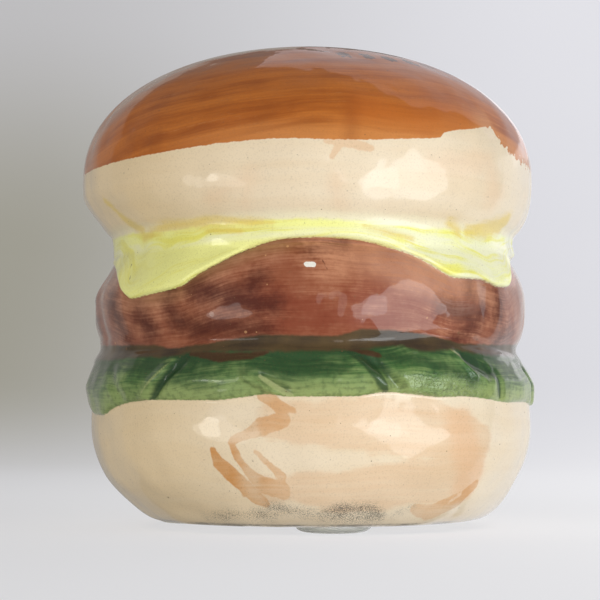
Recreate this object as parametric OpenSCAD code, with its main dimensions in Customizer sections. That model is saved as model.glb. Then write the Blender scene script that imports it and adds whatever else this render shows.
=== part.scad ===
// Novelty coin bank: a hollow, slip-cast cheeseburger that stands on three domed pads.
// The casting is one piece: buns, lettuce, patty and cheese are relief on the same wall.
// Units are millimetres. +Z is up, the front is towards -Y, and the pads stand on z = 0.

/* [Casting] */
// Widest radius of the top bun
bun_r = 60.5; // [54:0.5:66]
// Thickness of the cast wall
wall = 4.5; // [3.5:0.25:5]
// Thickness of the floor, between the cavity and the recess under it
floor_t = 4.5; // [3.5:0.25:6]
// Height of the lower bun, from its underside to the lettuce
lower_bun_h = 32; // [30:0.2:34]
// Height of the lettuce
lettuce_h = 12.4; // [11:0.2:14]
// Height of the patty that shows under the cheese
patty_h = 26.2; // [25:0.2:29]
// Height of the cheese between the patty and the top bun
cheese_h = 4.8; // [4.4:0.2:7]
// Height of the top bun
top_bun_h = 50.2; // [48:0.2:54]

/* [Lettuce and cheese] */
// Number of lobes along the lower edge of the lettuce
lobes = 9; // [7:1:12]
// How far the cheese slice stands proud of the patty
cheese_proud = 1.2; // [0.8:0.1:2]
// How far the corners of the slice hang below the top of the patty
corner_drop = 12; // [10:0.2:15]

/* [Coin slot] */
// Length of the slot, along X
slot_l = 36; // [32:1:40]
// Width of the slot
slot_w = 5; // [4.5:0.25:6]

/* [Stopper] */
// Radius of the hole in the floor
hole_r = 16; // [14:0.5:18]
// Radius of the flange, in its recess
flange_r = 20; // [19:0.25:21]
// Thickness of the flange at its rim
flange_t = 1.2; // [1:0.1:1.6]
// How far the stopper reaches up past the recess
plug_h = 10; // [8:0.5:13]

/* [Foot pads] */
// Height of a pad
pad_h = 1.8; // [1.6:0.1:2.5]
// Radius of a pad
pad_r = 9.5; // [8:0.5:9.5]
// Radius of the circle that the pads are stuck on
pad_circle_r = 33.5; // [33:0.1:34]
// Turn of the first pad from the front, to the right
pad_turn = 11; // [0:1:30]

/* [Hidden] */

$fn = 128;
STEPS = 6;           // straight lengths along one bulge of an outline
OVER = 1;            // how far a cutter runs past the face that it opens
EDGE = 2;            // rounding of the underside's edge

// Heights of the moulded grooves, from the pads up
base_z = pad_h;
lettuce_z = base_z + lower_bun_h;
patty_z = lettuce_z + lettuce_h;
cheese_z = patty_z + patty_h;
top_bun_z = cheese_z + cheese_h;
apex_z = top_bun_z + top_bun_h;

// Lower bun: the lower part of an ellipse, cut off flat
lower_r = bun_r - 1.7;
lower_mid_z = base_z + 24.7;
lower_b = 37.6;

// Lettuce: a belt that is widest near its lower edge, and drawn in to a waist under the patty
leaf_r = bun_r - 0.1;
leaf_wide_z = lettuce_z + 2.6;
leaf_edge_z = lettuce_z - 3.4;
leaf_edge_r = leaf_r - 0.8;
waist_r = bun_r - 5.5;
leaf_slope = 1.35;
scallop_r = 26;

// Patty: a round bulge
patty_r = bun_r - 2.3;
patty_mid_z = patty_z + 11.8;
patty_round = 24;

// Top bun: a rolled-under lower edge and a domed crown
crown_z = top_bun_z + 15;
crown_h = apex_z - crown_z;
crown_power = 2.15;
roll_power = 2.4;
roll_r = 10.3;
roll_h = 16.4;

// Underside: a flat ring for the pads, round a shallow recess for the stopper
recess_r = flange_r + 1;
recess_h = 2.2;
recess_z = base_z + recess_h;
cavity_z = recess_z + floor_t;

// Stopper: its ribs fit the hole with a sliding clearance
rib_gap = 0.08;
skirt_gap = 0.5;
skirt_t = 1.6;
rib_h = 1.2;
flange_dome = 1.3;
grip_w = 3;

// Radius at height z of a bulge that is r_max wide at mid_z, a deep and b high, of that power
function bulge(z, mid_z, r_max, a, b, power = 2) =
    r_max - a + a * pow(1 - pow(min(1, abs(z - mid_z) / b), power), 1 / power);

function lower_bun_at(z, inset = 0) =
    bulge(z, lower_mid_z, lower_r - inset, lower_r - inset, lower_b - inset);

function patty_at(z, inset = 0) =
    bulge(z, patty_mid_z, patty_r - inset, patty_round - inset, patty_round - inset);

function roll_at(z, inset = 0) =
    bulge(z, crown_z, bun_r - inset, roll_r, roll_h, roll_power);

function leaf_at(z) =
    leaf_r + (waist_r - leaf_r) * pow((z - leaf_wide_z) / (patty_z - leaf_wide_z), leaf_slope);

// The same number of heights for every stretch, from z0 to z1
function heights(z0, z1) = [for (i = [0:STEPS]) z0 + (z1 - z0) * i / STEPS];

function reversed(list) = [for (i = [len(list) - 1:-1:0]) list[i]];

// The crown from its widest place to its top, as points
function crown(inset = 0) =
    [for (i = [0:2 * STEPS])
        let (t = 90 * i / (2 * STEPS))
        [(bun_r - inset) * pow(max(0, cos(t)), 2 / crown_power),
         crown_z + (crown_h - inset) * pow(sin(t), 2 / crown_power)]];

// Outside of the casting, from the hole in the floor to the apex
function outside() =
    let (edge_r = lower_bun_at(base_z + EDGE) - EDGE)
    concat([[hole_r, recess_z], [recess_r, recess_z], [recess_r + recess_h, base_z]],
           [for (t = [0:30:90]) [edge_r + EDGE * sin(t), base_z + EDGE * (1 - cos(t))]],
           [for (z = heights(base_z + 2 * EDGE, lettuce_z)) [lower_bun_at(z), z]],
           [for (z = heights(leaf_wide_z, patty_z)) [leaf_at(z), z]],
           [for (z = heights(patty_z + 1, cheese_z)) [patty_at(z), z]],
           [for (z = heights(top_bun_z, crown_z)) [roll_at(z), z]],
           crown());

// Inside of the casting: slip settles to an even wall, so the cavity is smoother than the outside
function inside() =
    concat(reversed(crown(wall)),
           [[roll_at(top_bun_z, wall), top_bun_z]],
           reversed([for (z = heights(patty_z, cheese_z)) [patty_at(z, wall), z]]),
           reversed([for (z = heights(cavity_z, lettuce_z)) [lower_bun_at(z, wall), z]]),
           [[hole_r, cavity_z]]);

// The lip of the lettuce: a belt over the lower bun, scalloped along its lower edge
module lettuce_lip() {
    belt_r = lower_r - wall / 2;
    difference() {
        rotate_extrude() polygon([[belt_r, leaf_edge_z], [leaf_edge_r, leaf_edge_z],
                                  [leaf_r, leaf_wide_z], [belt_r, leaf_wide_z + OVER]]);
        for (i = [0:lobes - 1])
            rotate([0, 0, 360 * (i + 0.5) / lobes])
                translate([belt_r - OVER, 0, leaf_edge_z + 2.4 - scallop_r])
                    rotate([0, 90, 0]) cylinder(h = wall + 2 * OVER, r = scallop_r);
    }
}

// Angles of the slice's four corners round the bank, from +X towards +Y
CORNERS = [-28, 52, 138, 218];

// One arch of the slice's lower edge: a round bar that points outwards, between two corners
module arch_cutter(from, to) {
    half_chord = patty_r * sin((to - from) / 2 - 10);
    rise = corner_drop - 0.6;
    arch_r = (half_chord * half_chord + rise * rise) / (2 * rise);
    rotate([0, 0, (from + to) / 2]) translate([0, 0, cheese_z - 0.6 - arch_r])
        rotate([0, 90, 0]) cylinder(h = 2 * patty_r, r = arch_r);
}

// The slice: a band round the top of the patty, with arches cut between its corners
module cheese_slice() {
    corner_z = cheese_z - corner_drop;
    inner_r = patty_at(cheese_z) - wall / 2;
    rim_r = roll_at(top_bun_z);
    difference() {
        rotate_extrude()
            polygon(concat([[inner_r, corner_z]],
                           [for (z = heights(corner_z, cheese_z)) [patty_at(z) + cheese_proud, z]],
                           [[rim_r - 0.4, cheese_z + cheese_h / 2], [rim_r, top_bun_z],
                            [inner_r, top_bun_z]]));
        for (i = [0:3])
            arch_cutter(CORNERS[i], CORNERS[(i + 1) % 4] + (i == 3 ? 360 : 0));
    }
}

// A long hole with round ends, straight down through the crown
module coin_slot_cutter() {
    reach = crown_h + OVER;
    half = (slot_l - slot_w) / 2;
    translate([0, 0, crown_z]) {
        translate([-half, -slot_w / 2, 0]) cube([2 * half, slot_w, reach]);
        for (x = [-half, half])
            translate([x, 0, 0]) cylinder(h = reach, d = slot_w);
    }
}

module ceramic_body() {
    color("tan") difference() {
        union() {
            rotate_extrude() polygon(concat(outside(), inside()));
            lettuce_lip();
            cheese_slice();
        }
        coin_slot_cutter();
    }
}

// A flanged cup, pushed up into the floor, with a finger grip across its mouth
module stopper() {
    rim_z = recess_z - flange_t;
    low_z = rim_z - flange_dome;
    rib_r = hole_r - rib_gap;
    skirt_r = hole_r - skirt_gap;
    bore_r = skirt_r - skirt_t;
    top_z = recess_z + plug_h;
    color("whitesmoke") {
        rotate_extrude() polygon([
            [bore_r, low_z], [flange_r - 3, low_z], [flange_r, rim_z], [flange_r, recess_z],
            [rib_r, recess_z], [rib_r, recess_z + rib_h], [skirt_r, recess_z + 2 * rib_h],
            [skirt_r, top_z - 3 * rib_h], [rib_r, top_z - 2 * rib_h], [rib_r, top_z - rib_h],
            [skirt_r - 0.6, top_z], [0, top_z], [0, top_z - skirt_t], [bore_r, top_z - skirt_t]]);
        translate([-bore_r - OVER / 2, -grip_w / 2, low_z + 0.6])
            cube([2 * bore_r + OVER, grip_w, top_z - skirt_t / 2 - low_z - 0.6]);
    }
}

// A domed pad with a flat foot, stuck to the flat ring under the casting
module foot_pad(turn) {
    foot_r = 0.62 * pad_r;
    dome = [for (i = [0:STEPS])
                let (t = 90 * i / STEPS)
                [foot_r + (pad_r - foot_r) * sin(t), pad_h * (1 - cos(t))]];
    color("gainsboro") rotate([0, 0, turn - 90]) translate([pad_circle_r, 0, 0])
        rotate_extrude($fn = 64) polygon(concat([[0, 0]], dome, [[0, pad_h]]));
}

ceramic_body();
stopper();
foot_pad(pad_turn);  // foot_pad_front
foot_pad(pad_turn + 120);  // foot_pad_right
foot_pad(pad_turn + 240);  // foot_pad_left
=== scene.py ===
"""Looks for the ceramic cheeseburger coin bank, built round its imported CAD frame.

Shapes are worked out in millimetres in the frame's own axes and stored in metres.
Azimuth is measured from the front (-Y) towards the right (+X), in degrees.
"""
import math

import bpy
import numpy as np
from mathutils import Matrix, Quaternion, Vector, noise


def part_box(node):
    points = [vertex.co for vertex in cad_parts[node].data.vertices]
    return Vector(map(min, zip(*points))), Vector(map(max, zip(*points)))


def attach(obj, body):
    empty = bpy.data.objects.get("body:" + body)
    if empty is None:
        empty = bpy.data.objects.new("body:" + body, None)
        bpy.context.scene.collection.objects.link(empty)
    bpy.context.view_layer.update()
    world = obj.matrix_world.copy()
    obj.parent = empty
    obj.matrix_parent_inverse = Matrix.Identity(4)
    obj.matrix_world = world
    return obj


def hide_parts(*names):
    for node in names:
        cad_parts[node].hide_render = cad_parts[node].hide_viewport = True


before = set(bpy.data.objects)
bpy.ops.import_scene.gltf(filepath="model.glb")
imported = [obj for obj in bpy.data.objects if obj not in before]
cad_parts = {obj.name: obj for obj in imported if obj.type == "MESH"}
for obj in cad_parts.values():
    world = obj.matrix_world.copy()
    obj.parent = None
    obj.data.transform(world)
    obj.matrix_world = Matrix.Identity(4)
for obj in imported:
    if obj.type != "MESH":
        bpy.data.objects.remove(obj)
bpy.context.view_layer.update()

MM = 0.001
COLUMNS = 720                     # steps round the casting
AZIMUTH = np.arange(COLUMNS) * 360.0 / COLUMNS
AROUND = np.radians(AZIMUTH)

# ---- sizes, from the frame


def box_mm(node):
    low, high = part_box(node)
    return np.array(low) / MM, np.array(high) / MM


body_low, body_high = box_mm("ceramic_body")
base_z = body_low[2]
apex_z = body_high[2]
height = apex_z - base_z
bun_r = (body_high[0] - body_low[0]) / 2
stopper_low, stopper_high = box_mm("stopper")
flange_r = (stopper_high[0] - stopper_low[0]) / 2

# Grooves between the layers, as shares of the casting's height
lettuce_z = base_z + 0.255 * height
groove_z = base_z + 0.354 * height
cheese_z = base_z + 0.562 * height
notch_z = base_z + 0.5925 * height
crown_z = base_z + 0.719 * height


# ---- small tools for shapes


def ring(*points):
    """Values all round the casting through (azimuth, value) points, smooth and with no overshoot."""
    az, value = np.array(sorted(points), float).T
    az = np.concatenate([az[-3:] - 360, az, az[:3] + 360])
    value = np.concatenate([value[-3:], value, value[:3]])
    step = np.diff(az)
    slope = np.diff(value) / step
    before, after = slope[:-1], slope[1:]
    same_way = before * after > 0
    mean = np.where(same_way, before + after, 1)
    tangent = np.concatenate([[0], np.where(same_way, 2 * before * after / mean, 0), [0]])
    at = (AZIMUTH - az[0]) % 360 + az[0]
    k = np.clip(np.searchsorted(az, at, side="right") - 1, 0, len(az) - 2)
    t = (at - az[k]) / step[k]
    return ((1 + 2 * t) * (1 - t) ** 2 * value[k] + t * (1 - t) ** 2 * step[k] * tangent[k]
            + t * t * (3 - 2 * t) * value[k + 1] + t * t * (t - 1) * step[k] * tangent[k + 1])


def smooth(x, low, high):
    """0 below low, 1 above high, and smooth between."""
    t = np.clip((x - low) / (high - low), 0, 1)
    return t * t * (3 - 2 * t)


def bulge(z, mid_z, r_max, deep, high, power=2.0):
    """Radius at height z of a bulge that is r_max wide at mid_z, deep and high."""
    share = np.minimum(1, np.abs(z - mid_z) / high)
    return r_max - deep + deep * np.maximum(0, 1 - share ** power) ** (1 / power)


def rounded(distance, radius):
    """Thickness share of an edge with a quarter-round, at a distance in from the edge."""
    t = 1 - np.clip(distance / radius, 0, 1)
    return np.sqrt(np.maximum(0, 1 - t * t))


def lumps(x, y, z, size, seed):
    """Smooth random lumps of that size in mm, between about -1 and 1."""
    flat = zip(np.ravel(x / size + seed), np.ravel(y / size), np.ravel(z / size))
    return np.array([noise.noise(p) for p in flat]).reshape(np.shape(x)) * 1.6


def reach(z, start, end):
    """Share along the line between two (azimuth, height) points, and the distance from it in mm."""
    around = ((AZIMUTH - start[0] + 180) % 360 - 180) * math.radians(1) * bun_r
    run = (end[0] - start[0]) * math.radians(1) * bun_r
    rise, up = end[1] - start[1], z - start[1]
    along = np.clip((around * run + up * rise) / (run * run + rise * rise), 0, 1)
    return along, np.hypot(around - along * run, up - along * rise)


def crease(z, start, end, width):
    """1 along a line between two (azimuth, height) points, falling to 0 at its width in mm."""
    along, gap = reach(z, start, end)
    return smooth(-gap, -width, 0) * smooth(along, -0.02, 0.12) ** 0.5


def brush(z, *points):
    """Depth inside a brush stroke, in mm, through (azimuth, height, half width) points.

    It is below 0 outside the stroke.
    """
    inside = np.full(z.shape, -40.0)
    for start, end in zip(points, points[1:]):
        along, gap = reach(z, start, end)
        inside = np.maximum(inside, start[2] + along * (end[2] - start[2]) - gap)
    return inside


def add_piece(name, verts, faces):
    """A smooth-shaded object in the scene, from vertices in metres and faces."""
    mesh = bpy.data.meshes.new(name)
    mesh.from_pydata(verts, [], faces)
    mesh.polygons.foreach_set("use_smooth", [True] * len(faces))
    mesh.update()
    piece = bpy.data.objects.new(name, mesh)
    bpy.context.scene.collection.objects.link(piece)
    return piece


def turned(outline, columns, centre=(0, 0)):
    """Vertices and quads of a surface turned from (radius, height) points in mm."""
    angles = [2 * math.pi * k / columns for k in range(columns)]
    verts = [((centre[0] + r * math.cos(a)) * MM, (centre[1] + r * math.sin(a)) * MM, z * MM)
             for r, z in outline for a in angles]
    faces = []
    for row in range(0, (len(outline) - 1) * columns, columns):
        for k in range(columns):
            beside = (k + 1) % columns
            faces.append((row + k, row + beside, row + columns + beside, row + columns + k))
    return verts, faces


CAP_R = 0.02                      # outlines of turned pieces start and end at this radius


def lathe(name, outline, columns=128, centre=(0, 0)):
    """A turned piece, capped close to the axis at both ends."""
    verts, faces = turned(outline, columns, centre)
    faces += [tuple(reversed(range(columns))), tuple(range(len(verts) - columns, len(verts)))]
    return add_piece(name, verts, faces)


# ---- the casting's layers


def lower_bun_at(z):
    """Radius of the low bun, which is rounder below its widest height than above."""
    widest_z = base_z + 24.7
    high = np.where(np.asarray(z) > widest_z, 78.0, 37.6)
    return bulge(z, widest_z, bun_r - 1.7, bun_r - 1.7, high)


def patty_at(z):
    return bulge(z, groove_z + 11.5, bun_r - 2.4, 24, 24)


def roll_at(z):
    return bulge(z, crown_z, bun_r, 10.3, 16.4, 2.4)


CROWN_POWER = 2.15


def crown_height(r, inset=0.0):
    """Height of the crown over a point r from the axis."""
    share = np.minimum(1, r / (bun_r - inset)) ** CROWN_POWER
    return crown_z + (apex_z - crown_z - inset) * (1 - share) ** (1 / CROWN_POWER)


SLOT_HALF_LENGTH = 18.0
SLOT_HALF_WIDTH = 2.5


def slot_outline(grow):
    """Distance from the axis to the round-ended slot along X, grown by that much, at every azimuth."""
    half_length, half_width = SLOT_HALF_LENGTH + grow, SLOT_HALF_WIDTH + grow
    across, along = np.abs(np.cos(AROUND)), np.abs(np.sin(AROUND))
    straight = half_width / np.maximum(across, 1e-6)
    centre = half_length - half_width
    under = np.maximum(0, half_width ** 2 - (centre * across) ** 2)
    end = centre * along + np.sqrt(under)
    return np.where(straight * along <= centre, straight, end)


# Lower edge of the cheese slice: four corners that hang over the patty, with arches between
cheese_edge = ring((-180, 70.4), (-158, 67.6), (-145, 62), (-133, 58.2), (-120, 61.8), (-106, 67.4),
                   (-90, 70.4), (-76, 68.8), (-66, 66.4), (-60, 63.8), (-55, 60.6), (-50, 58.6),
                   (-44, 59.2), (-33, 60.8), (-28, 63.5), (-22, 66.5), (-14, 70), (-6, 71.9), (2, 72.3),
                   (12, 71.7), (21, 70.1), (28, 68), (34, 65), (39, 63.2), (48, 63.2), (56, 61.9), (61, 62),
                   (66, 66.4), (74, 70.3), (88, 71.3), (104, 70), (122, 65.8), (134, 61.2), (143, 59.2),
                   (152, 61.6), (164, 66.6))
# The yellow paint's upper edge, at the notch under the top bun
notch = ring((-180, 75.6), (-120, 75), (-65, 74.6), (-40, 75), (-22, 75.9), (0, 76.4), (22, 75.9), (42, 75),
             (65, 74.6), (120, 75.2))
groove = ring((-180, 46.3), (-140, 45.4), (-100, 46.6), (-69, 45.6), (-48, 45.2), (-28, 46.6), (-13, 46.8),
              (3, 46.2), (14, 46.3), (32, 47.8), (48, 46.6), (69, 45.6), (105, 46.4), (140, 45.5))
# Dark glaze pooled in the groove, with painted shade, lies between these two lines
patty_foot = ring((-180, 48), (-140, 47.2), (-100, 48.2), (-70, 47.4), (-55, 47), (-44, 46.8), (-37, 45.7),
                  (-31, 46.2), (-24, 46.9), (-17, 48), (-10, 48.6), (0, 48.4), (6, 48.4), (14, 50),
                  (22, 49.8), (34, 48.6), (44, 47), (54, 47.2), (90, 48.2), (135, 47.4))
leaf_top = ring((-180, 44.6), (-140, 43.8), (-100, 44.8), (-60, 43.4), (-45, 43.8), (-36, 43.4),
                (-30, 44.4), (-20, 44.6), (-11, 44.6), (-2, 44.7), (10, 44.8), (22, 46), (30, 44.8),
                (38, 45.4), (50, 44.4), (90, 44.8), (135, 44))
leaf_edge = ring((-180, 33.2), (-160, 31.4), (-138, 33.8), (-118, 32), (-98, 30.6), (-82, 31.6),
                 (-72, 29.6), (-65, 29.4), (-58, 31.2), (-50, 32.6), (-42, 33.1), (-23, 33), (-17, 33.6),
                 (-10, 34.4), (-6, 33.8), (10, 33.9), (18, 34.9), (25, 34.4), (32, 33.8), (40, 34),
                 (48, 33.4), (57, 32.6), (70, 32.8), (82, 31.8), (100, 33.6), (122, 31.8), (146, 33.9))
# Lower edge of the brown glaze on the crown, as a height
brown_edge = ring((-180, 93.4), (-140, 92.6), (-100, 93.2), (-71, 92.7), (-53, 93.1), (-38, 93.7),
                  (-23, 94.7), (-6, 95.6), (7, 95.3), (27, 96.5), (32.5, 97.2), (34, 98.6), (44, 100.6),
                  (52, 102), (54, 98.9), (60, 95.9), (71, 94), (90, 93.4), (130, 94.4))


def rows_between(top, bottom, count):
    """Heights for a run of rows below one edge and down to another."""
    share = np.linspace(0, 1, count + 1)[1:, None]
    return top[None, :] + (bottom - top)[None, :] * share


def edge_rows(edge, radius, count):
    """Rows that crowd towards a rounded lower edge."""
    share = np.cos(np.linspace(0, math.pi / 2, count + 1))[1:, None]
    return edge[None, :] + radius * share ** 1.5


CHEESE_ROUND = 1.5
LEAF_ROUND = 2.2
BASE_ROUND = 3.6
WALL = 4.5                        # thickness of the cast wall
RECESS = 2.2                      # depth of the recess round the stopper
EASE_R = 31.0                     # where the crown's rows have turned from the slot's outline to circles


def side_rows():
    """Heights of every row from the widest part of the crown down to the underside's edge."""
    flat = np.ones(COLUMNS)
    fillet_top = base_z + BASE_ROUND
    parts = [rows_between(crown_z * flat, notch, 26),
             rows_between(notch, cheese_edge + CHEESE_ROUND, 14),
             edge_rows(cheese_edge, CHEESE_ROUND, 7),
             rows_between(cheese_edge, groove, 40),
             rows_between(groove, leaf_edge + LEAF_ROUND, 26),
             edge_rows(leaf_edge, LEAF_ROUND, 7),
             rows_between(leaf_edge, fillet_top * flat, 40)]
    return np.concatenate(parts)


# Creases of the patty, then folds of the lettuce: two (azimuth, height) ends, width and depth in mm
PATTY_CREASES = [
    ((-37, 61), (-37, 52), 5.2, -0.25), ((-37, 52), (-29, 49), 4.4, -0.3),
    ((-28, 58.6), (-10, 56.4), 5.2, -0.25), ((-50, 57), (-47, 50), 5.8, -0.3),
    ((52, 64), (50, 49), 6.4, -0.6), ((38, 58), (46, 53), 4.2, -0.35), ((-74, 62), (-70, 48), 6.4, -0.4),
    ((100, 62), (92, 50), 4.4, -0.8), ((138, 56), (155, 59), 4, -0.8), ((-120, 60), (-128, 49), 4, -0.9),
    ((-165, 63), (-172, 50), 4, -0.8), ((-92, 55), (-82, 58), 4, -0.7)]
LEAF_FOLDS = [
    ((-31, 44), (-42, 33.2), 2.2, -1.2), ((-34, 43.5), (-45, 33.2), 2.4, 0.5),
    ((13, 45.5), (21, 36), 2.4, -1.6), ((9, 45), (17, 36.5), 2.6, 0.6), ((-16, 39), (-9, 35), 1.4, 0.9),
    ((-13, 39.6), (-6, 35.4), 1.6, -0.6), ((37, 46.5), (43, 39), 1.5, 0.8),
    ((41, 45), (49, 40), 3.2, -1.2), ((52, 41), (53, 34), 2.4, -0.5), ((74, 44), (78, 33), 3, -0.9),
    ((-60, 43), (-53, 34), 3.2, -0.6), ((88, 44), (96, 33), 2.8, -1.3), ((112, 45), (104, 34), 2.8, -1.1),
    ((134, 44), (144, 34), 2.8, -1.4), ((160, 45), (152, 33), 2.8, -1.1),
    ((-176, 44), (-168, 33), 2.8, -1.4), ((-150, 44), (-158, 33), 2.8, -1.1),
    ((-126, 45), (-118, 33), 2.8, -1.3), ((-100, 44), (-108, 32), 2.8, -1.2),
    ((-88, 45), (-80, 33), 2.8, -0.9)]


def folded(shape, z, folds):
    """A relief with those creases or ridges added."""
    for start, end, width, depth in folds:
        shape = shape + depth * crease(z, start, end, width)
    return shape


def patty_relief(x, y, z):
    """Lobes and creases of the patty, in mm."""
    lobes = 0.6 * lumps(x, y, z * 1.2, 24, 3.1) + 0.05 * lumps(x, y, z, 8, 8.4)
    return folded(lobes, z, PATTY_CREASES)


def leaf_relief(x, y, z):
    """Ruffles, folds and veins of the lettuce, in mm."""
    ruffles = 0.55 * lumps(x, y, z * 0.6, 18, 5.2) + 0.16 * lumps(x, y, z, 8, 1.7)
    return folded(ruffles, z, LEAF_FOLDS)


def outside_radius(z):
    """Radius of the casting's outside, and its relief, at each row and column of heights."""
    unit_x, unit_y = np.sin(AROUND)[None, :], -np.cos(AROUND)[None, :]
    x, y = bun_r * unit_x * np.ones_like(z), bun_r * unit_y * np.ones_like(z)
    above_notch, above_cheese = z - notch, z - cheese_edge
    above_groove, above_leaf = z - groove, z - leaf_edge

    top_bun = roll_at(z)
    left = smooth(-np.sin(AROUND), 0.3, 0.98)
    cheese_thick = (1.35 - 0.6 * left) * rounded(above_cheese, CHEESE_ROUND)
    relief = patty_relief(x, y, z)
    under_cheese = patty_at(z) + relief * smooth(above_cheese, 6, 0) * smooth(above_groove, 0, 4)
    waist = 55.4 + 0.5 * np.cos(3 * AROUND)
    cheese = np.maximum(patty_at(z), waist - 0.9) + cheese_thick + 0.25 * lumps(x, y, z * 2, 11, 2.2)
    tuck = smooth(above_notch, -3.0, 0)
    cheese = cheese * (1 - tuck) + np.minimum(cheese, waist) * tuck
    patty = under_cheese - 0.9 * smooth(above_groove, 2.2, 0)

    ruffle = leaf_relief(x, y, z)
    down = np.clip((groove - z) / (groove - leaf_edge), 0, 1)
    leaf_out = (bun_r - 5.9) + 7.8 * down ** 0.62 - 2.4 * smooth(down, 0.55, 1.0)
    leaf = leaf_out + ruffle * smooth(down, 0.05, 0.4)
    bun = lower_bun_at(z) + 0.2 * lumps(x, y, z, 24, 6.6)
    lip = np.maximum(0, leaf - bun) * rounded(above_leaf, LEAF_ROUND)
    leaf = np.where(above_leaf > 0, bun + lip, bun)

    radius = np.where(above_notch >= 0, np.maximum(top_bun, waist - 0.2),
                      np.where(above_cheese >= 0, cheese, np.where(above_groove >= 0, patty, leaf)))
    shown_relief = np.where((above_cheese < 0) & (above_groove >= 0), relief,
                            np.where((above_groove < 0) & (above_leaf >= 0), ruffle, 0))
    radius = radius + 0.12 * lumps(x, y, z, 30, 9.9) * smooth(np.abs(z - notch_z), 1, 8)
    radius = radius - left * smooth(z, 47, 50) * (1.1 + 1.6 * smooth(z, 60, 68)) * smooth(-z, -88, -79)
    return radius, shown_relief
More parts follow.
